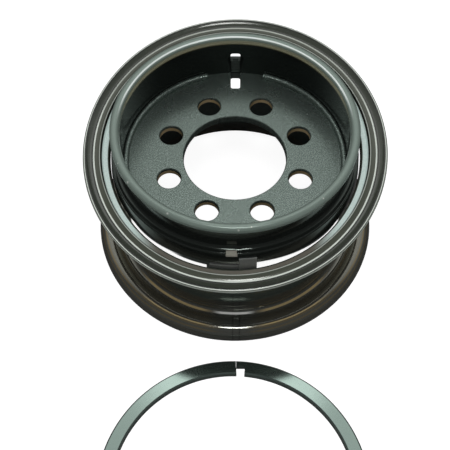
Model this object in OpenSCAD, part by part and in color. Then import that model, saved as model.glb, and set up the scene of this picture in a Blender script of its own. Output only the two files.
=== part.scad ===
// Multi-piece wheel rim for a 12 inch solid or pneumatic industrial tyre.
// A rolled rim base carries a welded wheel disc. A loose side ring lies tilted over its open end,
// and the split lock ring lies flat beside it.
// Origin: centre of the hub bore on the hub side of the disc. +Z towards the open gutter end.
// The valve slot is at +Y. Heights named _z are measured above the ground the rim stands on.

/* [Rim base] */
// Inner radius of the rolled wall
wall_inner_r = 142.5; // [120:0.5:170]
// Thickness of the barrel wall between flange and land
barrel_wall = 6; // [5:0.25:9]
// Thickness of the wall behind the gutter groove
gutter_wall = 5; // [4:0.25:8]
// Overall height of the rim base
rim_height = 222; // [200:1:260]

/* [Fixed flange] */
// Greatest radius of the fixed flange
flange_r = 188.5; // [180:0.5:200]
// Radius of the rolled crown on the tyre side
flange_roll_r = 15; // [13:0.5:17]
// Height of the widest circle of the flange above the ground
flange_wide_z = 9; // [7:0.5:11]
// Slope of the flange face between the heel and the crown, in degrees
flange_slope = 30; // [20:1:35]
// Concave radius between wall and flange
flange_heel_r = 8; // [6:0.5:9]
// Rise of the tapered tyre seat towards the flange
seat_rise = 3.7; // [1:0.1:5]
// Length of the tapered tyre seat
seat_length = 42; // [25:1:60]
// Angle that the rolled edge turns under, in degrees
flange_tuck = 40; // [36:1:50]

/* [Land and gutter] */
// Height of the lower edge of the land
land_z = 151; // [140:1:160]
// Width of the land along the axis
land_width = 21.6; // [16:0.2:26]
// How far the lower edge of the land stands out from the gutter floor
land_rise = 11; // [8:0.5:13]
// How much smaller the land is at its upper edge
land_taper = 1.5; // [0:0.25:3]
// Rounding of the upper edge of the land
land_edge_r = 1.8; // [1:0.2:3]
// Concave radius under the land
land_root_r = 5; // [2:0.5:7]
// Concave radius at the foot of the gutter
gutter_root_r = 5; // [2:0.5:6]
// Width of the pry notch in the upper edge of the land
pry_width = 13; // [8:1:20]
// Depth of the pry notch below the land's upper face
pry_depth = 2.4; // [1:0.2:4]
// Position of the pry notch round the rim, in degrees
pry_angle = -91.2; // [-120:0.2:-60]

/* [Lip] */
// Height of the lip from its under side to its crown
lip_height = 10; // [7:0.5:14]
// How far the lip stands out from the gutter floor
lip_out = 7; // [4:0.5:9]
// Set-back of the lip's inner side from the wall, which leaves a small ledge
lip_set_back = 1; // [0.5:0.1:2]
// Height of the rounded crown above the sides of the lip
lip_crown = 3.5; // [2:0.25:5]

/* [Valve passage] */
// Width of the valve slots and of the disc notch
valve_width = 13; // [10:0.5:16]
// Height of the middle of the slot through the gutter
valve_upper_z = 184; // [180:0.5:190]
// Length of the slot through the gutter
valve_upper_length = 16.5; // [12:0.5:20]
// Height of the middle of the slot through the barrel
valve_lower_z = 129; // [115:1:131]
// Length of the slot through the barrel
valve_lower_length = 28; // [18:1:32]
// Corner radius of the valve slots
valve_corner_r = 3; // [1:0.5:4.5]
// Width of the groove in the wall between slot and disc
valve_groove_width = 11.5; // [8:0.5:12.5]
// Depth of the groove in the wall
valve_groove_depth = 2.5; // [1:0.25:3]
// Radius at which the disc notch ends
notch_end_r = 113.5; // [111:0.5:125]
// Corner radius at the end of the disc notch
notch_corner_r = 2; // [1:0.5:4]

/* [Wheel disc] */
// Height of the hub side of the disc
hub_face_z = 144.8; // [120:0.5:160]
// Thickness of the wheel disc
disc_thickness = 10; // [8:0.5:14]
// Diameter of the hub bore
bore_d = 132; // [100:1:140]
// Pitch circle diameter of the stud holes
stud_pcd = 180; // [175:1:190]
// Diameter of one stud hole
stud_hole_d = 30; // [18:0.5:32]
// Number of stud holes
stud_count = 8; // [5:1:10]
// Edge break on bore and stud holes, on the outer side of the disc
disc_chamfer = 1; // [0.5:0.1:2]

/* [Disc weld] */
// Radius of the weld bead surface
bead_r = 9; // [7:0.5:11]
// How far the centre of the bead surface lies outside the corner
bead_set_back = 2.5; // [1.5:0.25:3.5]
// Half angle left unwelded round the valve slot, in degrees
bead_stop = 15.5; // [12:0.5:25]

/* [Driver lug] */
// Width of the driver lug
lug_width = 21.6; // [14:0.2:30]
// Height of the lug's lower end
lug_z = 140.5; // [138:0.5:146]
// Length of the lug
lug_length = 23; // [16:0.5:26]
// How far the lug stands out from the lower edge of the land
lug_out = 1; // [0.8:0.1:1.2]
// Position of the lug round the rim, in degrees
lug_angle = -84; // [-110:0.5:-70]

// Angle covered by the stop strip beside the lug, in degrees
strip_angle = 13; // [8:0.5:20]
// Height of the stop strip's lower edge
strip_z = 141; // [139:0.5:143]
// Height of the stop strip
strip_height = 6; // [3:0.5:8]

/* [Side ring] */
// Radial play between the land and the visible inner edge of the side ring
ring_play = 1.3; // [1.25:0.05:1.6]
// How far the hidden toe stands in from the inner edge
ring_toe_in = 1.35; // [1:0.05:1.35]
// Radial width of the side ring from its inner edge to its outer edge
ring_width = 32.3; // [28:0.1:40]
// Depth of the inner edge below the ring's top plane
ring_edge_depth = 11.5; // [10:0.5:13]
// Depth of the hidden toe below the ring's top plane
ring_toe_depth = 18; // [16:0.5:18.5]
// Plate thickness of the ring
ring_plate = 6.5; // [5:0.25:7.5]
// Radius of the rolled outer bead
ring_bead_r = 3.5; // [2.5:0.25:4]
// Radius of the shallow trough round the ring's plate
ring_trough_r = 15; // [13:0.5:18]
// Depth of the trough
ring_trough_depth = 2.7; // [1.5:0.1:3.2]
// Distance of the middle of the trough from the outer edge
ring_trough_in = 13.1; // [12:0.1:14]
// Tilt of the ring with its low side at the front, in degrees
ring_tilt = 10.34; // [10:0.02:10.6]
// Small sideways tilt of the ring, in degrees
ring_side_tilt = -1.21; // [-1.5:0.01:0]
// Height of the ring's centre above the upper face of the land
ring_rise = 10.3; // [9.5:0.1:11]
// Offset of the ring's centre along X
ring_x = -0.36; // [-0.5:0.02:0.5]
// Offset of the ring's centre along Y
ring_y = -6.11; // [-6.5:0.01:-5.5]

/* [Lock ring] */
// Outer diameter of the lock ring as it lies
lock_d = 329.5; // [300:0.5:340]
// Radial width of the lock ring
lock_width = 17.9; // [12:0.1:22]
// Thickness of the lock ring
lock_thickness = 10.5; // [8:0.25:14]
// Bevel on the upper inner edge
lock_bevel = 1.6; // [1:0.2:3]
// Gap at the split
lock_gap = 0.4; // [0.3:0.1:6]
// Width of the pry notch beside the split, at its deep end
lock_notch_width = 11.8; // [8:0.2:20]
// How much narrower the pry notch is at its mouth
lock_notch_taper = 2.6; // [0:0.2:4]
// Depth of the pry notch from the inner edge
lock_notch_depth = 10.8; // [4:0.2:12]
// Position of the lock ring's centre along Y
lock_y = -383.5; // [-420:0.5:-370]

/* [Hidden] */
$fn = 128;
flange_plate = barrel_wall;
barrel_r = wall_inner_r + barrel_wall;
gutter_r = wall_inner_r + gutter_wall;
land_r = gutter_r + land_rise;
land_top_r = land_r - land_taper;
land_top_z = land_z + land_width;
lip_r = gutter_r + lip_out;
lip_z = rim_height - lip_height;
lip_inner_r = wall_inner_r + lip_set_back;
lip_mid_r = (lip_r + lip_inner_r) / 2;
lip_half = (lip_r - lip_inner_r) / 2;
lip_round_r = (lip_half * lip_half + lip_crown * lip_crown) / (2 * lip_crown);
// A narrow flange tightens both of its bends, so that a straight stretch stays between them
bend_straight = 1;
bend_room = flange_r - barrel_r - seat_rise - bend_straight;
bend_fit = min(1, bend_room / ((flange_roll_r + flange_heel_r) * (1 + sin(flange_slope))));
roll_r = flange_roll_r * bend_fit;
heel_r = flange_heel_r * bend_fit;
roll_c = [flange_r - roll_r, flange_wide_z * bend_fit];
tangent_lap = 0.03;
heel_x = barrel_r + seat_rise + heel_r - tangent_lap;
heel_rise = (roll_r + heel_r - (roll_c[0] - heel_x) * sin(flange_slope)) / cos(flange_slope);
heel_c = [heel_x, roll_c[1] + heel_rise];
ring_edge_r = land_r + ring_play;
ring_toe_r = ring_edge_r - ring_toe_in;
ring_r = ring_edge_r + ring_width;
bead_x = wall_inner_r + bead_set_back;
// Cuts through the wall start inside it, and the valve groove stays just clear of the disc
cut_start = wall_inner_r / 2 + bore_d / 2;
groove_lift = 0.5;
lug_half = asin(lug_width / 2 / land_r);
paint = [0.16, 0.18, 0.17];
paint_disc = [0.3, 0.34, 0.32];
paint_ring = [0.27, 0.29, 0.25];

function polar(c, r, a) = [c[0] + r * cos(a), c[1] + r * sin(a)];

// Ground heights are turned into heights over the hub face
module over_ground() {
    translate([0, 0, -hub_face_z]) children();
}

// Concave corner fill, mirrored by the signs of sx and sz
module root_fill(x, z, r, sx, sz) {
    translate([x, z]) mirror([sx < 0 ? 1 : 0, 0]) mirror([0, sz < 0 ? 1 : 0]) difference() {
        square(r);
        translate([r, r]) circle(r = r);
    }
}

module rounded_slot(w, h, r) {
    square([w - 2 * r, h], center = true);
    square([w, h - 2 * r], center = true);
    for (x = [-1, 1], y = [-1, 1])
        translate([x * (w / 2 - r), y * (h / 2 - r)]) circle(r = r, $fn = 32);
}

// Area on and below one side of the flange plate, up to the roll; t is the depth below the tyre side
module flange_side(t) {
    slope_dir = [-sin(flange_slope), cos(flange_slope)];
    difference() {
        polygon([[wall_inner_r - 2, -20], [wall_inner_r - 2, heel_c[1]], heel_c,
                 heel_c - (heel_r + t - tangent_lap) * slope_dir,
                 roll_c + (roll_r - t - tangent_lap) * slope_dir,
                 roll_c, [roll_c[0], -20]]);
        translate(heel_c) circle(r = heel_r + t);
    }
}

// Barrel wall and fixed flange as one bent plate standing on its tucked edge
module flange_body() {
    far = flange_r;
    difference() {
        union() {
            rotate_extrude() flange_side(0);
            rotate_extrude() translate(roll_c) circle(r = roll_r);
            rotate_extrude()
                polygon([[wall_inner_r - 1, 1], [barrel_r + seat_rise, 1], [barrel_r + seat_rise, heel_c[1]],
                         [barrel_r, heel_c[1] + seat_length], [barrel_r, land_z + 1], [wall_inner_r - 1, land_z + 1]]);
        }
        rotate_extrude() flange_side(flange_plate);
        rotate_extrude() translate(roll_c) circle(r = roll_r - flange_plate);
        rotate_extrude()
            polygon([[wall_inner_r - 2, heel_c[1] - 2], [wall_inner_r - 0.5, heel_c[1] - 2],
                     [wall_inner_r + seat_rise, heel_c[1]], [wall_inner_r, heel_c[1] + seat_length],
                     [wall_inner_r - 2, heel_c[1] + seat_length]]);
        rotate_extrude()
            polygon([roll_c, polar(roll_c, far, -flange_tuck), polar(roll_c, far, -60), [roll_c[0] - 1, -far]]);
        translate([0, 0, -far]) cylinder(r = far * 2, h = far);
        translate([0, 0, -1]) cylinder(r = wall_inner_r, h = land_z + 10);
    }
}

module land_section() {
    polygon([[wall_inner_r, land_z], [land_r - 1.5, land_z], [land_r, land_z + 1.5],
             [land_top_r, land_top_z - land_edge_r], [land_top_r - land_edge_r, land_top_z],
             [wall_inner_r, land_top_z]]);
    translate([land_top_r - land_edge_r, land_top_z - land_edge_r]) circle(r = land_edge_r);
    root_fill(barrel_r, land_z, land_root_r, 1, -1);
    root_fill(gutter_r, land_top_z, gutter_root_r, 1, 1);
}

module lip_section() {
    intersection() {
        translate([lip_mid_r, rim_height - lip_round_r]) circle(r = lip_round_r);
        polygon([[wall_inner_r, lip_z - 1], [gutter_r, lip_z - 1], [gutter_r, lip_z],
                 [lip_r - 1, lip_z], [lip_r, lip_z + 1], [lip_r, rim_height + 1],
                 [lip_inner_r, rim_height + 1], [lip_inner_r, lip_z + lip_set_back],
                 [wall_inner_r, lip_z]]);
    }
    root_fill(gutter_r, lip_z, lip_out - 3, 1, -1);
}

module gutter_section() {
    translate([wall_inner_r, land_z - 2]) square([gutter_wall, lip_z - land_z + 3]);
    land_section();
    lip_section();
}

// Rolled wall with fixed flange, land, gutter and lip
module rim_base() {
    color(paint) over_ground() difference() {
        union() {
            flange_body();
            rotate_extrude() gutter_section();
        }
        translate([0, cut_start, valve_upper_z]) rotate([-90, 0, 0])
            linear_extrude(land_r - cut_start) rounded_slot(valve_width, valve_upper_length, valve_corner_r);
        translate([0, cut_start, valve_lower_z]) rotate([-90, 0, 0])
            linear_extrude(land_r - cut_start) rounded_slot(valve_width, valve_lower_length, valve_corner_r);
        translate([-valve_groove_width / 2, cut_start, hub_face_z + disc_thickness + groove_lift])
            cube([valve_groove_width, wall_inner_r + valve_groove_depth - cut_start,
                  valve_upper_z - hub_face_z - disc_thickness]);
        rotate([0, 0, pry_angle]) translate([gutter_r + gutter_root_r - 1, -pry_width / 2, land_top_z - pry_depth])
            cube([land_r - gutter_r, pry_width, pry_depth + 1]);
    }
}

module chamfered_hole(d, t) {
    translate([0, 0, -1]) cylinder(d = d, h = t + 2);
    translate([0, 0, t - disc_chamfer]) cylinder(d1 = d, d2 = d + 2 * disc_chamfer + 2, h = disc_chamfer + 1);
}

// Flat disc with hub bore, stud holes and the notch for the valve stem
module wheel_disc() {
    color(paint_disc) difference() {
        cylinder(r = wall_inner_r, h = disc_thickness, $fn = 256);
        chamfered_hole(bore_d, disc_thickness);
        for (i = [0 : stud_count - 1])
            rotate([0, 0, 90 + (i + 0.5) * 360 / stud_count]) translate([stud_pcd / 2, 0, 0])
                chamfered_hole(stud_hole_d, disc_thickness);
        translate([0, 0, -1]) linear_extrude(disc_thickness + 2) {
            translate([-valve_width / 2, notch_end_r + notch_corner_r]) square([valve_width, wall_inner_r]);
            translate([notch_corner_r - valve_width / 2, notch_end_r])
                square([valve_width - 2 * notch_corner_r, wall_inner_r]);
            for (s = [-1, 1])
                translate([s * (valve_width / 2 - notch_corner_r), notch_end_r + notch_corner_r])
                    circle(r = notch_corner_r, $fn = 32);
        }
    }
}

// Fillet weld between disc and wall, left open round the valve slot
module disc_weld() {
    color(paint_disc) translate([0, 0, disc_thickness]) intersection() {
        union() {
            rotate([0, 0, 90 + bead_stop]) rotate_extrude(angle = 360 - 2 * bead_stop, $fn = 256)
                translate([bead_x, -bead_set_back]) circle(r = bead_r);
            for (s = [-1, 1])
                rotate([0, 0, 90 + s * bead_stop]) translate([bead_x, 0, -bead_set_back]) sphere(r = bead_r);
        }
        cylinder(r = wall_inner_r, h = bead_r * 2, $fn = 256);
    }
}

// Block on the land that keeps the side ring from turning, with a thin stop strip beside it
module driver_lug() {
    color(paint) over_ground() difference() {
        union() {
            rotate([0, 0, lug_angle]) translate([barrel_r, -lug_width / 2, lug_z])
                cube([land_r + lug_out - barrel_r, lug_width, lug_length]);
            rotate([0, 0, lug_angle - strip_angle - lug_half]) rotate_extrude(angle = strip_angle + 1)
                translate([barrel_r - 1, strip_z]) square([land_r - barrel_r + 1.2, strip_height]);
        }
        rotate_extrude() {
            translate([wall_inner_r, heel_c[1] + seat_length]) square([barrel_wall, land_z - heel_c[1] - seat_length]);
            land_section();
        }
    }
}

module ring_body() {
    bead_c = [ring_r - ring_bead_r, -0.4 - ring_bead_r];
    step_r = ring_edge_r + 6.8;
    difference() {
        union() {
            rotate_extrude()
                polygon([[ring_edge_r, -ring_edge_depth], [step_r, -8.3], [step_r + 3, -0.9], [step_r + 3.4, -0.5],
                         [bead_c[0] - 1, -0.5], [bead_c[0] - 1, bead_c[1]], bead_c + [-1.5, -2.6],
                         [step_r + 11.5, -2.8 - ring_plate], [step_r + 8.6, -2.9 - ring_plate],
                         [step_r + 1.6, -9.3 - ring_plate], [ring_edge_r + 1.8, -ring_toe_depth - 0.6],
                         [ring_toe_r + 1, -ring_toe_depth - 0.6], [ring_toe_r, -ring_toe_depth + 0.4]]);
            rotate_extrude() translate(bead_c) circle(r = ring_bead_r);
        }
        rotate_extrude() translate([ring_r - ring_trough_in, ring_trough_r - ring_trough_depth - 0.5])
            circle(r = ring_trough_r);
    }
}

// Removable side ring, tilted as it lies over the open end
module side_ring() {
    color(paint_ring) over_ground() translate([ring_x, ring_y, land_top_z + ring_rise])
        rotate([ring_tilt, ring_side_tilt, 0]) difference() {
            ring_body();
            rotate([0, 0, 65.3]) translate([ring_r + 1.6, 0, -10]) cylinder(r = 3.2, h = 20, $fn = 32);
        }
}

// Split lock ring lying on the ground in front of the rim
module lock_ring() {
    lock_r = lock_d / 2;
    inner = lock_r - lock_width;
    color(paint_ring) over_ground() translate([0, lock_y, 0]) difference() {
        rotate_extrude()
            polygon([[inner, 0.8], [inner + 0.8, 0], [lock_r - 1.5, 0], [lock_r, 1.5],
                     [lock_r, lock_thickness - 2], [lock_r - 2, lock_thickness],
                     [inner + lock_bevel, lock_thickness], [inner, lock_thickness - lock_bevel]]);
        translate([3 - lock_gap, inner + lock_notch_depth - 1, -1])
            cube([lock_gap, lock_width, lock_thickness + 2]);
        translate([3 - lock_gap, inner, -1]) linear_extrude(lock_thickness + 2)
            polygon([[lock_notch_taper / 2, -5], [lock_notch_width - lock_notch_taper / 2, -5],
                     [lock_notch_width, lock_notch_depth], [0, lock_notch_depth]]);
    }
}

rim_base();
wheel_disc();
disc_weld();
driver_lug();
side_ring();
lock_ring();
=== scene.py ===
"""Forklift wheel rim: a rolled base with its welded disc, a side ring tilted on it, and a lock ring."""
import logging
import math
from dataclasses import dataclass
from enum import Enum
from typing import Any, NamedTuple

import bpy
from mathutils import Matrix, Vector


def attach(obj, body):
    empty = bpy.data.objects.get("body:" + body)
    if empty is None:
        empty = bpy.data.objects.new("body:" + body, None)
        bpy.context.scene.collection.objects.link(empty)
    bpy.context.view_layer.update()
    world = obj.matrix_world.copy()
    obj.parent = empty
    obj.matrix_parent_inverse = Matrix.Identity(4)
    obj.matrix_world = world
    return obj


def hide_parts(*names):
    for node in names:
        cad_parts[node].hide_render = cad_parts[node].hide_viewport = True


MM = 0.001
# How high the hub side of the disc stands above the ground, in mm
HUB_FACE_Z = 144.8
# A length past the rim and the side ring, in mm, for a stretch that is open at one end
OPEN = 400.0
Socket = bpy.types.NodeSocket
Point = tuple[float, float, float]
Chips = tuple[tuple[float, float, float, float], ...]
log = logging.getLogger("wheel_rim")
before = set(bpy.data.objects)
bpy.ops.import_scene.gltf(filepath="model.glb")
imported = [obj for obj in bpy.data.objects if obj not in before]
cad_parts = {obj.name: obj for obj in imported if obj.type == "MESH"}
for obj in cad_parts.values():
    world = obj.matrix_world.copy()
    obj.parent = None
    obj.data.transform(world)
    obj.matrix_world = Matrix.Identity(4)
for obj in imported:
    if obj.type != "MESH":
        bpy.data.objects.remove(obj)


def linear(hex_colour: str) -> tuple[float, float, float, float]:
    """Turns an sRGB hex value into the linear colour a shader socket takes.

    Args:
        hex_colour: Six hex digits, such as "1c1f1d".

    Returns:
        Red, green, blue and an alpha of 1.
    """
    out = []
    for i in (0, 2, 4):
        v = int(hex_colour[i:i + 2], 16) / 255
        out.append(v / 12.92 if v <= 0.04045 else ((v + 0.055) / 1.055) ** 2.4)
    return (out[0], out[1], out[2], 1.0)


def add(tree: bpy.types.NodeTree, kind: str, settings: dict[str, Any] | None = None,
        inputs: dict[Any, Any] | None = None) -> bpy.types.Node:
    """Adds a node, sets its properties and fills or links its inputs.

    Args:
        tree: The tree that gets the node.
        kind: The node's bl_idname.
        settings: Property names and values.
        inputs: Input name or number, and a value or an output socket to link from.

    Returns:
        The new node.
    """
    node = tree.nodes.new(kind)
    for name, value in (settings or {}).items():
        setattr(node, name, value)
    for key, value in (inputs or {}).items():
        if isinstance(value, Socket):
            tree.links.new(value, node.inputs[key])
        else:
            node.inputs[key].default_value = value
    return node


class Stretch(NamedTuple):
    """A stretch of a surface, in mm: where it starts, where it ends and how wide its edges fade."""

    low: float
    high: float
    fade: float


class Paint(NamedTuple):
    """A colour as sRGB hex, and how much of it shows."""

    colour: str
    share: float


class Parts(NamedTuple):
    """Coordinates about an axis along z: x, y, z, x without its sign, and the distance from the axis."""

    x: Socket
    y: Socket
    z: Socket
    far: Socket
    radius: Socket


class Join(Enum):
    """How masks are joined: where they all meet, or where any of them lies."""

    MEET = "MULTIPLY"
    ANY = "MAXIMUM"


class Spray(Enum):
    """How the enamel went on. Real orange peel is finer than a pixel, so it is drawn 1 to 3 mm wide."""

    SMOOTH = (2.6, 0.022, 0.12)
    GLOSS = (3.2, 0.012, 0.13)
    OILED = (2.6, 0.022, 0.15)
    PEBBLED = (1.7, 0.1, 0.28)
    THIN = (1.4, 0.12, 0.5)

    def __init__(self, peel_mm: float, depth_mm: float, rough: float) -> None:
        """Keeps the values of one spray by name.

        Args:
            peel_mm: Width of the orange peel in mm.
            depth_mm: Depth of the peel in mm.
            rough: Roughness of the coat.
        """
        self.peel_mm = peel_mm
        self.depth_mm = depth_mm
        self.rough = rough


@dataclass
class Coat:
    """The nodes of one material while they are laid, on Object coordinates, and its colour so far."""

    tree: bpy.types.NodeTree
    shader: bpy.types.Node
    where: Socket
    colour: Socket

    def parts(self, where: Socket) -> Parts:
        """Splits coordinates into lengths that masks are made from.

        Args:
            where: Coordinates about an axis along z.

        Returns:
            The lengths, in metres.
        """
        x, y, z = add(self.tree, "ShaderNodeSeparateXYZ", None, {0: where}).outputs
        far = add(self.tree, "ShaderNodeMath", {"operation": "ABSOLUTE"}, {0: x})
        flat = add(self.tree, "ShaderNodeVectorMath", {"operation": "MULTIPLY"}, {0: where, 1: (1, 1, 0)})
        radius = add(self.tree, "ShaderNodeVectorMath", {"operation": "LENGTH"}, {0: flat.outputs[0]})
        return Parts(x, y, z, far.outputs[0], radius.outputs["Value"])

    def band(self, value: Socket, stretch: Stretch) -> Socket:
        """Marks the stretch of a surface where a length lies between two limits.

        Args:
            value: The length, in metres.
            stretch: The limits.

        Returns:
            A mask that is 1 between the limits and 0 outside.
        """
        edges = []
        for limit, half in ((stretch.low, stretch.fade / 2), (stretch.high, -stretch.fade / 2)):
            edge = add(self.tree, "ShaderNodeMapRange", {"interpolation_type": "SMOOTHSTEP"},
                       {"Value": value, "From Min": (limit - half) * MM, "From Max": (limit + half) * MM})
            edges.append(edge.outputs["Result"])
        return self.join(Join.MEET, *edges)

    def join(self, how: Join, *masks: Socket | float) -> Socket:
        """Joins masks into one.

        Args:
            how: Whether the masks have to meet.
            masks: The masks. A number stands for an even mask.

        Returns:
            The mask of them all.
        """
        whole: Any = masks[0]
        for mask in masks[1:]:
            whole = add(self.tree, "ShaderNodeMath", {"operation": how.value}, {0: whole, 1: mask}).outputs[0]
        return whole

    def tint(self, paint: Paint, *masks: Socket) -> None:
        """Lays a paint over the colour so far where all the masks meet.

        Args:
            paint: The paint.
            masks: The masks.
        """
        part = self.join(Join.MEET, *masks, paint.share)
        self.colour = add(self.tree, "ShaderNodeMix", {"data_type": "RGBA"},
                          {0: part, 6: self.colour, 7: linear(paint.colour)}).outputs[2]

    def vary(self, name: str, mask: Socket, clear: float, marked: float) -> None:
        """Changes one value of the shader where a mask lies.

        Args:
            name: The shader's input.
            mask: The mask.
            clear: The value outside the mask.
            marked: The value in the mask.
        """
        amount = add(self.tree, "ShaderNodeMapRange", None,
                     {"Value": mask, "To Min": clear, "To Max": marked})
        self.tree.links.new(amount.outputs["Result"], self.shader.inputs[name])

    def glow(self, mask: Socket, hex_colour: str) -> None:
        """Gives the coat a little light of its own where a mask lies.

        Args:
            mask: The mask.
            hex_colour: The light's colour, as sRGB.
        """
        light = add(self.tree, "ShaderNodeMix", {"data_type": "RGBA"},
                    {0: mask, 6: linear("000000"), 7: linear(hex_colour)})
        self.shader.inputs["Emission Strength"].default_value = 1.0
        self.tree.links.new(light.outputs[2], self.shader.inputs["Emission Color"])


@dataclass(frozen=True)
class Enamel:
    """Black baked enamel on rolled steel. Its high metallic share stands for the strong, cool green sheen of
    the baked coat, which shows the pale sweep behind the rim and turns black where it faces the dark side.
    Its real specks are finer than a pixel, so they are drawn 1 to 2 mm wide."""

    name: str
    base: str
    tint: str
    spray: Spray
    metallic: float = 0.8
    cloud_mm: float = 60.0
    sheen_drift: float = 0.15
    speck_mm: float = 1.9
    speck_share: float = 0.34
    speck_fade: tuple[float, float] = (0.1, 0.04)
    speck: Paint = Paint("9aa39d", 0.1)
    chips: Chips = ()
    chip_paint: Paint = Paint("c6cbc4", 0.9)
    chip_reach: float = 1.4
    chip_fade: float = 0.2
    rag_mm: float = 1.43
    rag_depth: float = 0.8

    def build(self) -> bpy.types.Material:
        """Builds the material's nodes on Object coordinates.

        Returns:
            The finished material.
        """
        mat = bpy.data.materials.new(self.name)
        mat.use_nodes = True
        tree = mat.node_tree
        tree.nodes.clear()
        shader = add(tree, "ShaderNodeBsdfPrincipled", None, {"Metallic": self.metallic})
        add(tree, "ShaderNodeOutputMaterial", None, {"Surface": shader.outputs["BSDF"]})
        where = add(tree, "ShaderNodeTexCoord").outputs["Object"]
        cloud = add(tree, "ShaderNodeTexNoise", None,
                    {"Vector": where, "Scale": 1 / (self.cloud_mm * MM), "Detail": 3.0, "Roughness": 0.55})
        plain = add(tree, "ShaderNodeMix", {"data_type": "RGBA"},
                    {0: cloud.outputs["Fac"], 6: linear(self.base), 7: linear(self.tint)})
        coat = Coat(tree, shader, where, plain.outputs[2])
        self.specks(coat)
        rough = self.spray.rough
        sheen = add(tree, "ShaderNodeMapRange", None,
                    {"Value": cloud.outputs["Fac"], "From Min": 0.3, "From Max": 0.7,
                     "To Min": rough * (1 - self.sheen_drift), "To Max": rough * (1 + self.sheen_drift)})
        tree.links.new(sheen.outputs["Result"], shader.inputs["Roughness"])
        self.pattern(coat)
        for x, y, z, size in self.chips:
            self.chip(coat, (x, y, z), size)
        tree.links.new(coat.colour, shader.inputs["Base Color"])
        peel = add(tree, "ShaderNodeTexNoise", None,
                   {"Vector": where, "Scale": 1 / (self.spray.peel_mm * MM), "Detail": 2.5, "Roughness": 0.6})
        bump = add(tree, "ShaderNodeBump", None,
                   {"Strength": 1.0, "Distance": self.spray.depth_mm * MM,
                    "Height": peel.outputs["Fac"]})
        tree.links.new(bump.outputs["Normal"], shader.inputs["Normal"])
        return mat

    def specks(self, coat: Coat) -> None:
        """Strews pale specks over the coat.

        Args:
            coat: The coat that gets them.
        """
        grain = add(coat.tree, "ShaderNodeTexNoise", None,
                    {"Vector": coat.where, "Scale": 1 / (self.speck_mm * MM), "Detail": 2.0,
                     "Roughness": 0.7})
        edge = 1 - self.speck_share
        below, above = self.speck_fade
        speck = add(coat.tree, "ShaderNodeMapRange", None,
                    {"Value": grain.outputs["Fac"], "From Min": edge - below, "From Max": edge + above})
        coat.tint(self.speck, speck.outputs["Result"])

    def pattern(self, coat: Coat) -> None:
        """Leaves the coat plain; a finish with marks of its own lays them here.

        Args:
            coat: The coat that gets them.
        """

    def chip(self, coat: Coat, at: Point, size: float) -> None:
        """Lays one small ragged paint chip with bright steel in it.

        Args:
            coat: The coat that gets it.
            at: The chip's middle in mm.
            size: The chip's radius in mm.
        """
        gap = add(coat.tree, "ShaderNodeVectorMath", {"operation": "DISTANCE"},
                  {0: coat.where, 1: tuple(v * MM for v in at)})
        rag = add(coat.tree, "ShaderNodeTexNoise", None,
                  {"Vector": coat.where, "Scale": 1 / (self.rag_mm * MM), "Detail": 2.0})
        reach = add(coat.tree, "ShaderNodeMath", {"operation": "MULTIPLY_ADD"},
                    {0: rag.outputs["Fac"], 1: self.rag_depth * size * MM, 2: gap.outputs["Value"]})
        whole = Stretch(-OPEN, size * self.chip_reach, size * self.chip_fade)
        coat.tint(self.chip_paint, coat.band(reach.outputs[0], whole))


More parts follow.
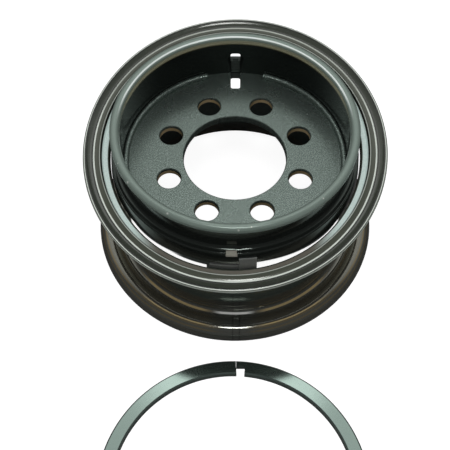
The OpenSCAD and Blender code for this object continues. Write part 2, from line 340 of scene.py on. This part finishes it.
@dataclass(frozen=True)
class RimEnamel(Enamel):
    """The coat of the rim base, with roller streaks and the butt weld's edges at the front, and with painted
    light:
    painted shade on the inner wall and on the land and gutter, a paler lip as painted sheen with painted
    highlights on its crest and under it at the back, painted reflections of the warm floor on the flange,
    painted highlights on the heel and on the floor of the pry notch, and a white band of painted light with a
    glow of its own under the land.
    Sizes in mm, and the bow is how far the band drops over x squared, per metre. Real roller streaks are
    finer than the 2 mm drawn."""

    front: Stretch = Stretch(-OPEN, -1.0, 1.0)
    back: Stretch = Stretch(30.0, OPEN, 60.0)
    outside: Stretch = Stretch(146.5, OPEN, 1.0)
    streak_mm: float = 2.2
    streak_share: tuple[float, float] = (0.45, 0.72)
    streak_paint: Paint = Paint("3c403d", 0.35)
    wall_r: Stretch = Stretch(140.0, 143.2, 0.4)
    wall_z: Stretch = Stretch(9.0, 66.5, 1.0)
    wall_painted_shade: Paint = Paint("1e2120", 0.9)
    land_z: Stretch = Stretch(-2.0, 64.0, 2.0)
    land_painted_shade: Paint = Paint("1d1e1c", 0.75)
    lip_z: Stretch = Stretch(69.5, OPEN, 2.0)
    lip_painted_sheen: Paint = Paint("85958c", 0.75)
    lip_rough: float = 0.32
    lip_matt: float = 0.6
    crest_r: Stretch = Stretch(144.7, 146.5, 0.8)
    crest_highlight: Paint = Paint("f2fbf7", 0.95)
    under_r: Stretch = Stretch(140.0, 144.0, 0.4)
    under_z: Stretch = Stretch(65.5, 72.0, 3.0)
    under_highlight: Paint = Paint("9a8f66", 0.45)
    flange_z: Stretch = Stretch(-OPEN, -102.0, 4.0)
    flange_floor_reflection: Paint = Paint("77706a", 0.5)
    warm_reflection_far: Stretch = Stretch(25.0, OPEN, 30.0)
    warm_streak_reflection: Paint = Paint("a38f60", 0.7)
    weld_edges: tuple[Stretch, Stretch] = (Stretch(-2.25, -1.35, 0.4), Stretch(6.55, 7.45, 0.4))
    weld_z: Stretch = Stretch(-OPEN, -86.0, 2.0)
    weld_paint: Paint = Paint("0b0c0b", 0.8)
    notch_x: Stretch = Stretch(-10.0, 4.0, 0.8)
    notch_z: Stretch = Stretch(22.0, 27.2, 0.6)
    notch_r: Stretch = Stretch(150.0, OPEN, 0.5)
    notch_highlight: Paint = Paint("a3a196", 0.9)
    heel_r: Stretch = Stretch(154.9, 157.6, 0.8)
    heel_x: Stretch = Stretch(-24.0, 24.0, 18.0)
    heel_highlight: Paint = Paint("f2f2ef", 0.9)
    crown_r: Stretch = Stretch(177.0, 178.6, 0.8)
    line_reflection_far: Stretch = Stretch(34.0, 118.0, 24.0)
    warm_line_reflection: Paint = Paint("b59d66", 0.7)
    band_z: Stretch = Stretch(-29.0, -8.0, 2.0)
    band_y: Stretch = Stretch(-OPEN, -66.0, 8.0)
    band_bow: float = 1.3
    glare_band_paint: Paint = Paint("fbfbf9", 1.0)
    glare_band_glow: str = "e5e5e5"
    strip_x: Stretch = Stretch(-34.0, 27.0, 1.0)
    shade_x: Stretch = Stretch(-75.0, -5.0, 25.0)
    shade_z: Stretch = Stretch(-18.0, 5.0, 2.0)

    def pattern(self, coat: Coat) -> None:
        """Lays the rolled wall's own marks.

        Args:
            coat: The coat that gets them.
        """
        at = coat.parts(coat.where)
        front = coat.band(at.y, self.front)
        outside = coat.band(at.radius, self.outside)
        flange = coat.band(at.z, self.flange_z)
        streak = self.streaks(coat, at)
        coat.tint(self.streak_paint, streak, outside)
        # Painted shade: the inner wall between lip and disc is darkened
        coat.tint(self.wall_painted_shade, coat.band(at.radius, self.wall_r), coat.band(at.z, self.wall_z))
        # Painted shade: the land and the gutter under the lip are darkened outside
        coat.tint(self.land_painted_shade, outside, coat.band(at.z, self.land_z))
        lip = self.lip(coat, at)
        # Painted reflection: the flange takes a warm grey, the brown floor mirrored in it
        coat.tint(self.flange_floor_reflection, flange)
        # Painted reflection: warm brown streaks along the flange's sides
        coat.tint(self.warm_streak_reflection, flange, coat.band(at.far, self.warm_reflection_far), streak)
        weld = coat.join(Join.MEET, front, outside, coat.band(at.z, self.weld_z))
        for edge in self.weld_edges:
            coat.tint(self.weld_paint, coat.band(at.x, edge), weld)
        # Painted highlight: a pale patch on the floor of the pry notch
        notch = coat.join(Join.MEET, coat.band(at.x, self.notch_x), front,
                          coat.band(at.z, self.notch_z), coat.band(at.radius, self.notch_r))
        coat.tint(self.notch_highlight, notch)
        # Painted highlight on the heel at the front, and warm painted reflections along the flange's lines at
        # its sides
        painted_glints = self.painted_glints(coat, at, coat.join(Join.MEET, flange, front))
        # Painted light: a white band below the land, with a glow of its own
        pale = self.pale(coat, at, front, outside)
        coat.vary("Metallic", coat.join(Join.ANY, pale, notch, painted_glints, lip), self.metallic, 0.0)
        # Painted glow: the white band carries a little light of its own in the shadow of the land
        coat.glow(pale, self.glare_band_glow)
        coat.tint(self.glare_band_paint, pale)

    def streaks(self, coat: Coat, at: Parts) -> Socket:
        """Marks the streaks that the rollers left round the wall.

        Args:
            coat: The coat that gets them.
            at: Where a point of the coat lies.

        Returns:
            A mask of the streaks.
        """
        section = add(coat.tree, "ShaderNodeCombineXYZ", None, {0: at.radius, 2: at.z})
        rolled = add(coat.tree, "ShaderNodeTexNoise", None,
                     {"Vector": section.outputs[0], "Scale": 1 / (self.streak_mm * MM), "Detail": 2.0})
        low, high = self.streak_share
        return add(coat.tree, "ShaderNodeMapRange", None,
                   {"Value": rolled.outputs["Fac"], "From Min": low, "From Max": high}).outputs["Result"]

    def lip(self, coat: Coat, at: Parts) -> Socket:
        """Lays the duller lip in a paler teal as painted sheen, with a painted highlight on its crest and
        another under it at the back.

        Args:
            coat: The coat that gets them.
            at: Where a point of the coat lies.

        Returns:
            Where and how far the lip is matt.
        """
        lip = coat.band(at.z, self.lip_z)
        back = coat.band(at.y, self.back)
        crest = coat.join(Join.MEET, coat.band(at.radius, self.crest_r), lip, back)
        under = coat.join(Join.MEET, coat.band(at.radius, self.under_r), coat.band(at.z, self.under_z), back)
        # Painted sheen on the paler lip, a painted highlight on its crest and another under it at the back
        coat.tint(self.lip_painted_sheen, lip)
        coat.tint(self.crest_highlight, crest)
        coat.tint(self.under_highlight, under)
        coat.vary("Roughness", lip, self.spray.rough, self.lip_rough)
        return coat.join(Join.ANY, crest, under, coat.join(Join.MEET, lip, self.lip_matt))

    def painted_glints(self, coat: Coat, at: Parts, flange: Socket) -> Socket:
        """Lays a painted highlight on the heel of the flange, and warm painted reflections along its lines at
        both sides.

        Args:
            coat: The coat that gets them.
            at: Where a point of the coat lies.
            flange: A mask of the front half of the flange.

        Returns:
            Where the painted highlight and reflections lie.
        """
        bend = coat.band(at.radius, self.heel_r)
        heel_glint = coat.join(Join.MEET, bend, coat.band(at.x, self.heel_x), flange)
        line = coat.join(Join.ANY, bend, coat.band(at.radius, self.crown_r))
        line = coat.join(Join.MEET, line, flange, coat.band(at.far, self.line_reflection_far))
        # Painted highlight on the heel, painted reflections along the lines
        coat.tint(self.heel_highlight, heel_glint)
        coat.tint(self.warm_line_reflection, line)
        return coat.join(Join.ANY, heel_glint, line)

    def pale(self, coat: Coat, at: Parts, front: Socket, outside: Socket) -> Socket:
        """Marks a white band of painted light, with a glow of its own, on the wall below the land, which the
        lug and the stop strip interrupt.

        Args:
            coat: The coat that gets it.
            at: Where a point of the coat lies.
            front: A mask of the front half.
            outside: A mask of the outside of the wall.

        Returns:
            A mask of the band.
        """
        strip = coat.join(Join.MEET, coat.band(at.x, self.strip_x), front)
        shade = coat.join(Join.MEET, coat.band(at.x, self.shade_x), coat.band(at.z, self.shade_z))
        clear = add(coat.tree, "ShaderNodeMath", {"operation": "SUBTRACT"},
                    {0: 1.0, 1: coat.join(Join.ANY, strip, shade)})
        slope = add(coat.tree, "ShaderNodeMath", {"operation": "MULTIPLY"}, {0: at.far, 1: self.band_bow})
        bowed = add(coat.tree, "ShaderNodeMath", {"operation": "MULTIPLY_ADD"},
                    {0: at.far, 1: slope.outputs[0], 2: at.z})
        return coat.join(Join.MEET, coat.band(bowed.outputs[0], self.band_z), outside, clear.outputs[0],
                         coat.band(at.y, self.band_y))


@dataclass(frozen=True)
class DiscEnamel(Enamel):
    """The pebbled coat of the disc, with a tan colour laid in the lower part of the stud holes. Sizes in mm.
    """

    hole_tan_z: Stretch = Stretch(0.4, 6.0, 0.8)
    hole_tan_r: Stretch = Stretch(70.0, 112.0, 1.0)
    hole_tan: Paint = Paint("a8946f", 0.95)

    def pattern(self, coat: Coat) -> None:
        """Lays a tan colour without metallic sheen in the lower half of the stud holes.

        Args:
            coat: The coat that gets it.
        """
        at = coat.parts(coat.where)
        holes = coat.join(Join.MEET, coat.band(at.z, self.hole_tan_z), coat.band(at.radius, self.hole_tan_r))
        coat.vary("Metallic", holes, self.metallic, 0.0)
        coat.tint(self.hole_tan, holes)


@dataclass(frozen=True)
class RingEnamel(Enamel):
    """The coat of the side ring. Its creases carry painted highlights, dimmed at the back, with dark lines of
    painted shade between them, its plate band an olive tone that is a painted reflection, and its pale inner
    cone is lighter, matt and gritty at the two sides, where painted light and a glow of its own stand for the
    light that falls there. Sizes in mm, about the ring's own tilted axis. The real grit is finer than the 2
    mm drawn."""

    centre: Point = (-0.36, -6.11, 38.1)
    tilt_deg: float = 10.34
    side_tilt_deg: float = -1.21
    top_z: Stretch = Stretch(-12.2, OPEN, 0.6)
    plate_r: Stretch = Stretch(171.5, 177.0, 1.0)
    plate_reflection_tone: Paint = Paint("5a5e52", 0.6)
    crease_highlights: tuple[tuple[Stretch, Paint], ...] = (
        (Stretch(191.2, 192.0, 0.4), Paint("eaf2e8", 0.4)),
        (Stretch(189.2, 190.4, 0.4), Paint("eaf2e8", 0.85)),
        (Stretch(177.1, 178.9, 0.4), Paint("eaf2e8", 1.0)),
        (Stretch(169.8, 171.0, 0.4), Paint("eaf2e8", 0.5)))
    shade_gaps: tuple[Stretch, ...] = (
        Stretch(187.3, 188.7, 0.4), Stretch(179.7, 180.7, 0.4), Stretch(167.7, 169.1, 0.4))
    gap_painted_shade: Paint = Paint("111311", 0.9)
    dimmed_r: Stretch = Stretch(176.8, 179.2, 0.4)
    dimmed_y: Stretch = Stretch(60.0, OPEN, 60.0)
    dimmed_highlight: Paint = Paint("5a5e52", 0.5)
    cone_r: Stretch = Stretch(161.4, 167.9, 0.6)
    cone_paint: Paint = Paint("8d897e", 0.9)
    sidelit_far: Stretch = Stretch(112.0, OPEN, 40.0)
    sidelit_paint: Paint = Paint("b4c7c2", 1.0)
    sidelit_glow: str = "768480"
    grit_mm: float = 2.38
    grit_paint: Paint = Paint("f4fbf8", 0.9)

    def pattern(self, coat: Coat) -> None:
        """Lays the ring's concentric marks about its own tilted axis.

        Args:
            coat: The coat that gets them.
        """
        own = add(coat.tree, "ShaderNodeMapping", {"vector_type": "TEXTURE"},
                  {"Vector": coat.where, "Location": tuple(v * MM for v in self.centre),
                   "Rotation": (math.radians(self.tilt_deg), math.radians(self.side_tilt_deg), 0.0)})
        at = coat.parts(own.outputs[0])
        top = coat.band(at.z, self.top_z)
        # Painted reflection: an olive tone on the plate band
        coat.tint(self.plate_reflection_tone, coat.band(at.radius, self.plate_r))
        matt = []
        # Painted highlights on the ring's creases, without metallic sheen
        for stretch, paint in self.crease_highlights:
            crease = coat.join(Join.MEET, coat.band(at.radius, stretch), top)
            coat.tint(paint, crease)
            matt.append(crease)
        # Painted shade dims the highlight crease at the back
        behind = coat.band(at.y, self.dimmed_y)
        coat.tint(self.dimmed_highlight, coat.band(at.radius, self.dimmed_r), behind, top)
        # Painted shade: dark lines in the gaps between the creases
        for stretch in self.shade_gaps:
            coat.tint(self.gap_painted_shade, coat.band(at.radius, stretch), top)
        cone = coat.join(Join.MEET, coat.band(at.radius, self.cone_r), top)
        # Painted light: the cone is paler and gritty at the two sides, with a glow of its own
        pale = coat.join(Join.MEET, cone, coat.band(at.far, self.sidelit_far))
        grit = add(coat.tree, "ShaderNodeTexNoise", None,
                   {"Vector": coat.where, "Scale": 1 / (self.grit_mm * MM), "Detail": 3.0})
        coat.tint(self.cone_paint, cone)
        coat.tint(self.sidelit_paint, pale)
        coat.tint(self.grit_paint, pale, grit.outputs["Fac"])
        coat.vary("Metallic", coat.join(Join.ANY, pale, *matt), self.metallic, 0.0)
        # Painted glow: the cone's two sides carry a little light of their own under the plate
        coat.glow(pale, self.sidelit_glow)


def dress(node: str, finish: bpy.types.Material) -> None:
    """Puts one material on all slots of a frame node.

    Args:
        node: The node's name.
        finish: The material it gets.
    """
    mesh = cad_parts[node].data
    if not mesh.materials:
        mesh.materials.append(finish)
    for i in range(len(mesh.materials)):
        mesh.materials[i] = finish
    log.info("%s is dressed in %s", node, finish.name)


@dataclass
class RimBase:
    """The rolled wall with flange, land, gutter and lip, and the lug that is welded to its land. Each chip
    is its middle and its radius in mm."""

    chips: Chips = (
        (-126.6, -87.2, 74.9, 1.6), (-77.3, -131.6, 76.0, 1.3), (5.1, -153.7, 74.8, 1.3),
        (-140.0, -60.0, 76.5, 0.9), (20.0, -150.0, 76.8, 0.8), (104.0, -110.0, 76.6, 1.0),
        (4.5, -163.5, -124.5, 1.8), (1.0, -163.0, -124.6, 1.3))

    def build(self) -> None:
        """Dresses the rim base and its lug."""
        # Baked black enamel, rolled smooth: the wall mirrors, and is a cool green-grey where it faces light
        enamel = RimEnamel("rim_baked_enamel", "626c66", "6d7872", Spray.SMOOTH, speck_mm=1.6,
                           speck_share=0.4, speck=Paint("a9b6af", 0.28), chips=self.chips)
        dress("rim_base", enamel.build())
        # A thin, dry coat over mill scale: matt and finely speckled beside the glossy wall
        lug = Enamel("lug_thin_enamel", "6a6c69", "7b7e7a", Spray.THIN, metallic=0.2, speck_mm=1.3,
                     speck=Paint("9aa39d", 0.3))
        dress("driver_lug", lug.build())


@dataclass
class WeldBead:
    """The rippled fillet weld between disc and wall, open round the valve slot. Sizes in mm and degrees, and
    shares of the bead's radius."""

    wall_r: float = 142.5
    inset: float = 2.6
    bead_r: float = 4.3
    disc_top: float = 10.0
    lift: float = 1.6
    clear: float = 0.02
    stop_deg: float = 15.5
    ripple_pitch: float = 3.2
    ripple_share: float = 0.08
    drift_share: float = 0.14
    drift_scale: float = 0.35
    low_share: float = 0.89
    arc_steps: int = 1100
    round_steps: int = 20

    def sizes(self) -> dict[str, float]:
        """Gives the inputs of the bead's tree by name, in metres, radians and shares."""
        return {"Path Radius": (self.wall_r - self.inset) * MM, "Bead Radius": self.bead_r * MM,
                "Stop Angle": math.radians(self.stop_deg), "Ripple Pitch": self.ripple_pitch * MM,
                "Ripple Depth": self.ripple_share}

    def tree(self, finish: bpy.types.Material) -> bpy.types.NodeTree:
        """Builds the node tree that sweeps the bead along its arc and ripples it.

        Args:
            finish: The material of the bead.

        Returns:
            The geometry node tree, with the bead's sizes as named inputs.
        """
        tree = bpy.data.node_groups.new("weld_bead_sweep", "GeometryNodeTree")
        for name in self.sizes():
            tree.interface.new_socket(name, in_out="INPUT", socket_type="NodeSocketFloat")
        tree.interface.new_socket("Geometry", in_out="OUTPUT", socket_type="NodeSocketGeometry")
        given = add(tree, "NodeGroupInput").outputs
        start = add(tree, "ShaderNodeMath", {"operation": "ADD"}, {0: given["Stop Angle"], 1: math.pi / 2})
        sweep = add(tree, "ShaderNodeMath", {"operation": "MULTIPLY_ADD"},
                    {0: given["Stop Angle"], 1: -2.0, 2: math.tau})
        arc = add(tree, "GeometryNodeCurveArc", {"mode": "RADIUS"},
                  {"Resolution": self.arc_steps, "Radius": given["Path Radius"],
                   "Start Angle": start.outputs[0], "Sweep Angle": sweep.outputs[0]})
        along = add(tree, "GeometryNodeSplineParameter")
        turn = add(tree, "ShaderNodeMath", {"operation": "DIVIDE"},
                   {0: along.outputs["Length"], 1: given["Ripple Pitch"]})
        saw = add(tree, "ShaderNodeMath", {"operation": "FRACT"}, {0: turn.outputs[0]})
        drift = add(tree, "ShaderNodeTexNoise", {"noise_dimensions": "1D"},
                    {"W": turn.outputs[0], "Scale": self.drift_scale, "Detail": 1.0})
        ripple = add(tree, "ShaderNodeMath", {"operation": "MULTIPLY_ADD"},
                     {0: saw.outputs[0], 1: given["Ripple Depth"], 2: self.low_share})
        wave = add(tree, "ShaderNodeMath", {"operation": "MULTIPLY_ADD"},
                   {0: drift.outputs["Fac"], 1: self.drift_share, 2: ripple.outputs[0]})
        sized = add(tree, "GeometryNodeSetCurveRadius", None,
                    {"Curve": arc.outputs[0], "Radius": wave.outputs[0]})
        ring = add(tree, "GeometryNodeCurvePrimitiveCircle", {"mode": "RADIUS"},
                   {"Resolution": self.round_steps, "Radius": given["Bead Radius"]})
        width = add(tree, "GeometryNodeInputRadius")
        tube = add(tree, "GeometryNodeCurveToMesh", None,
                   {"Curve": sized.outputs[0], "Profile Curve": ring.outputs[0], "Scale": width.outputs[0],
                    "Fill Caps": True})
        solid = add(tree, "GeometryNodeRealizeInstances", None, {0: tube.outputs[0]})
        painted = add(tree, "GeometryNodeSetMaterial", None,
                      {"Geometry": solid.outputs[0], "Material": finish})
        add(tree, "NodeGroupOutput", None, {0: painted.outputs[0]})
        return tree

    def build(self, finish: bpy.types.Material) -> None:
        """Makes the bead as a plain mesh in the frame and lets it stand for the plain weld.

        Args:
            finish: The material of the bead.
        """
        host = bpy.data.objects.new("weld_bead_host", bpy.data.meshes.new("weld_bead_host"))
        bpy.context.scene.collection.objects.link(host)
        sweep = host.modifiers.new("sweep", "NODES")
        sweep.node_group = self.tree(finish)
        sizes = self.sizes()
        for item in sweep.node_group.interface.items_tree:
            if item.in_out == "INPUT":
                sweep[item.identifier] = sizes[item.name]
        bpy.context.view_layer.update()
        graph = bpy.context.evaluated_depsgraph_get()
        mesh = bpy.data.meshes.new_from_object(host.evaluated_get(graph))
        host.modifiers.clear()
        bpy.data.objects.remove(host)
        self.seat(mesh)
        bead = bpy.data.objects.new("weld_bead", mesh)
        bpy.context.scene.collection.objects.link(bead)
        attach(bead, "root")
        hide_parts("disc_weld")
        log.info("weld_bead has %d faces", len(mesh.polygons))

    def seat(self, mesh: bpy.types.Mesh) -> None:
        """Lifts the bead onto the disc, and presses flat what would cut into the disc or the wall.

        Args:
            mesh: The bead's mesh.
        """
        limit = (self.wall_r - self.clear) * MM
        floor_z = (self.disc_top + self.clear) * MM
        for v in mesh.vertices:
            v.co.z += (self.disc_top + self.lift) * MM
            v.co.z = max(v.co.z, floor_z)
            reach = math.hypot(v.co.x, v.co.y)
            if reach > limit:
                v.co.x *= limit / reach
                v.co.y *= limit / reach
        for poly in mesh.polygons:
            poly.use_smooth = True


@dataclass
class WheelDisc:
    """The flat disc with its bore, stud holes and rippled weld. The disc keeps its shape from the frame."""

    bead: WeldBead

    def build(self) -> None:
        """Dresses the disc and lays its weld bead."""
        # The disc took a thicker, pebbled coat: a soft grey-green sheen with fine pale specks
        enamel = DiscEnamel("disc_pebbled_enamel", "525f58", "5f6b65", Spray.PEBBLED, speck_share=0.42,
                            speck_mm=1.1, speck=Paint("b5c4bd", 0.6)).build()
        dress("wheel_disc", enamel)
        dress("disc_weld", enamel)
        self.bead.build(enamel)


@dataclass
class SideRing:
    """The loose flange ring that lies tilted on the land. It keeps its shape from the frame. Each chip is its
    middle and its radius in mm."""

    chips: Chips = ((85.2, 162.6, 69.4, 2.2),)

    def build(self) -> None:
        """Dresses the ring."""
        # Pressed steel under a thin olive-black coat: crisp painted highlights on its creases, between darker
        # bands of painted shade
        enamel = RingEnamel("ring_olive_enamel", "3f443d", "4a4e45", Spray.OILED, metallic=0.1, speck_mm=1.5,
                            chips=self.chips)
        dress("side_ring", enamel.build())


@dataclass
class LockRing:
    """The split ring that lies on the ground. It keeps its shape from the frame."""

    def build(self) -> None:
        """Dresses the ring."""
        # Drawn flat bar with a glossy coat: it mirrors the lamp as a pale green glow and the rim as black
        enamel = Enamel("lock_ring_enamel", "8b9d95", "94a69e", Spray.GLOSS, metallic=0.95, speck_mm=1.2,
                        speck=Paint("9aa39d", 0.06))
        dress("lock_ring", enamel.build())


@dataclass(frozen=True)
class Lamp:
    """One soft rectangular lamp that faces the rim. Lengths in metres, power in watts."""

    name: str
    at: Point
    size: tuple[float, float]
    power: float
    aim: Point = (0.0, -0.05, 0.0)

    def build(self) -> None:
        """Hangs the lamp where the camera does not see it."""
        data = bpy.data.lights.new(self.name, "AREA")
        data.shape = "RECTANGLE"
        data.size, data.size_y = self.size
        data.energy = self.power
        lamp = bpy.data.objects.new(self.name, data)
        lamp.visible_camera = False
        place = Vector(self.at)
        turn = (Vector(self.aim) - place).to_track_quat("-Z", "Y").to_matrix().to_4x4()
        lamp.matrix_world = Matrix.Translation(place) @ turn
        bpy.context.scene.collection.objects.link(lamp)
        log.info("%s is lit", self.name)


@dataclass
class Studio:
    """Floor, sky, lamps and the camera of the photograph. Lengths in metres, angles in degrees."""

    camera_at: Point = (0.00404, -0.7696, 1.0411)
    tilt: float = 32.83
    heading: float = 1.336
    roll: float = -0.842
    lens_mm: float = 79.97
    sensor_mm: float = 36.0
    floor_z: float = -HUB_FACE_Z * MM
    floor_half: float = 6.0
    floor_colour: str = "959595"
    floor_glow: float = 0.94
    mirrored_floor: str = "616161"
    low_sky: float = 0.12
    high_sky: float = 1.0
    sweep_from: float = -0.1
    sweep_to: float = 0.45
    flat_from: float = 0.15
    flat_to: float = 0.85
    sky_light: float = 0.6
    lamps: tuple[Lamp, ...] = (Lamp("overhead_lamp", (0.0, 0.47, 1.3), (0.5, 0.3), 0.5),
                               Lamp("glint_lamp", (0.0, -0.46, 1.28), (0.24, 0.2), 3.6))

    def camera(self) -> None:
        """Places the camera at the photograph's viewpoint."""
        data = bpy.data.cameras.new("photo_camera")
        data.lens = self.lens_mm
        data.sensor_width = self.sensor_mm
        data.sensor_fit = "HORIZONTAL"
        data.clip_start = 0.01
        data.clip_end = 50.0
        cam = bpy.data.objects.new("photo_camera", data)
        turn = Matrix.Identity(4)
        for angle, axis in ((self.heading, "Z"), (self.tilt, "X"), (self.roll, "Z")):
            turn = turn @ Matrix.Rotation(math.radians(angle), 4, axis)
        cam.matrix_world = Matrix.Translation(Vector(self.camera_at)) @ turn
        bpy.context.scene.collection.objects.link(cam)
        bpy.context.scene.camera = cam

    def seen(self, tree: bpy.types.NodeTree, rays: bpy.types.Node) -> Socket:
        """Marks the rays that show the background itself.

        Args:
            tree: The tree of the world or the floor.
            rays: Its Light Path node.

        Returns:
            A mask that is 1 for those rays.
        """
        return add(tree, "ShaderNodeMath", {"operation": "MAXIMUM"},
                   {0: rays.outputs["Is Camera Ray"], 1: rays.outputs["Is Transmission Ray"]}).outputs[0]

    def sky(self) -> None:
        """Makes the sky white to the camera, pale beyond the far side to mirrors, and quiet as a light."""
        world = bpy.data.worlds.new("studio_sky")
        world.use_nodes = True
        tree = world.node_tree
        tree.nodes.clear()
        rays = add(tree, "ShaderNodeLightPath")
        coordinates = add(tree, "ShaderNodeTexCoord")
        way = add(tree, "ShaderNodeSeparateXYZ", None, {0: coordinates.outputs["Generated"]})
        sweep = add(tree, "ShaderNodeMapRange", {"interpolation_type": "SMOOTHSTEP"},
                    {"Value": way.outputs[1], "From Min": self.sweep_from, "From Max": self.sweep_to,
                     "To Min": 0.0, "To Max": self.high_sky - self.low_sky})
        rise = add(tree, "ShaderNodeMapRange", {"interpolation_type": "SMOOTHSTEP"},
                   {"Value": way.outputs[2], "From Min": self.flat_from, "From Max": self.flat_to})
        glow = add(tree, "ShaderNodeMath", {"operation": "MULTIPLY_ADD"},
                   {0: sweep.outputs["Result"], 1: rise.outputs["Result"], 2: self.low_sky})
        lit = add(tree, "ShaderNodeMix", {"data_type": "FLOAT"},
                  {0: rays.outputs["Is Glossy Ray"], 2: self.sky_light, 3: glow.outputs[0]})
        strength = add(tree, "ShaderNodeMix", {"data_type": "FLOAT"},
                       {0: self.seen(tree, rays), 2: lit.outputs[0], 3: 1.0})
        back = add(tree, "ShaderNodeBackground", None,
                   {"Color": linear("ffffff"), "Strength": strength.outputs[0]})
        add(tree, "ShaderNodeOutputWorld", None, {"Surface": back.outputs[0]})
        bpy.context.scene.world = world

    def floor(self) -> None:
        """Lays the plain pale floor that keeps the object's shadow."""
        mesh = bpy.data.meshes.new("studio_floor")
        corners = ((-1, -1), (1, -1), (1, 1), (-1, 1))
        mesh.from_pydata([(x * self.floor_half, y * self.floor_half, self.floor_z) for x, y in corners],
                         [], [(0, 1, 2, 3)])
        obj = bpy.data.objects.new("studio_floor", mesh)
        bpy.context.scene.collection.objects.link(obj)
        # Matt white paper: almost white to the eye under a soft shadow, and a dull grey in the enamel
        mat = bpy.data.materials.new("matt_white_paper")
        mat.use_nodes = True
        tree = mat.node_tree
        tree.nodes.clear()
        lit = add(tree, "ShaderNodeBsdfDiffuse", None, {"Color": linear(self.floor_colour)})
        glow = add(tree, "ShaderNodeEmission", None, {"Color": linear("ffffff"), "Strength": self.floor_glow})
        both = add(tree, "ShaderNodeAddShader", None, {0: lit.outputs[0], 1: glow.outputs[0]})
        plain = add(tree, "ShaderNodeBsdfDiffuse", None, {"Color": linear(self.mirrored_floor)})
        rays = add(tree, "ShaderNodeLightPath")
        mix = add(tree, "ShaderNodeMixShader", None,
                  {0: self.seen(tree, rays), 1: plain.outputs[0], 2: both.outputs[0]})
        add(tree, "ShaderNodeOutputMaterial", None, {"Surface": mix.outputs[0]})
        mesh.materials.append(mat)

    def build(self) -> None:
        """Sets up the whole studio."""
        bpy.context.scene.view_settings.view_transform = "Standard"
        self.camera()
        self.sky()
        self.floor()
        for lamp in self.lamps:
            lamp.build()
        log.info("studio is ready")


def main() -> None:
    """Builds and dresses the wheel rim in order."""
    logging.basicConfig(level=logging.INFO, format="%(name)s: %(message)s")
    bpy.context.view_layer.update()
    RimBase().build()
    WheelDisc(WeldBead()).build()
    SideRing().build()
    LockRing().build()
    Studio().build()


if __name__ == "__main__":
    main()
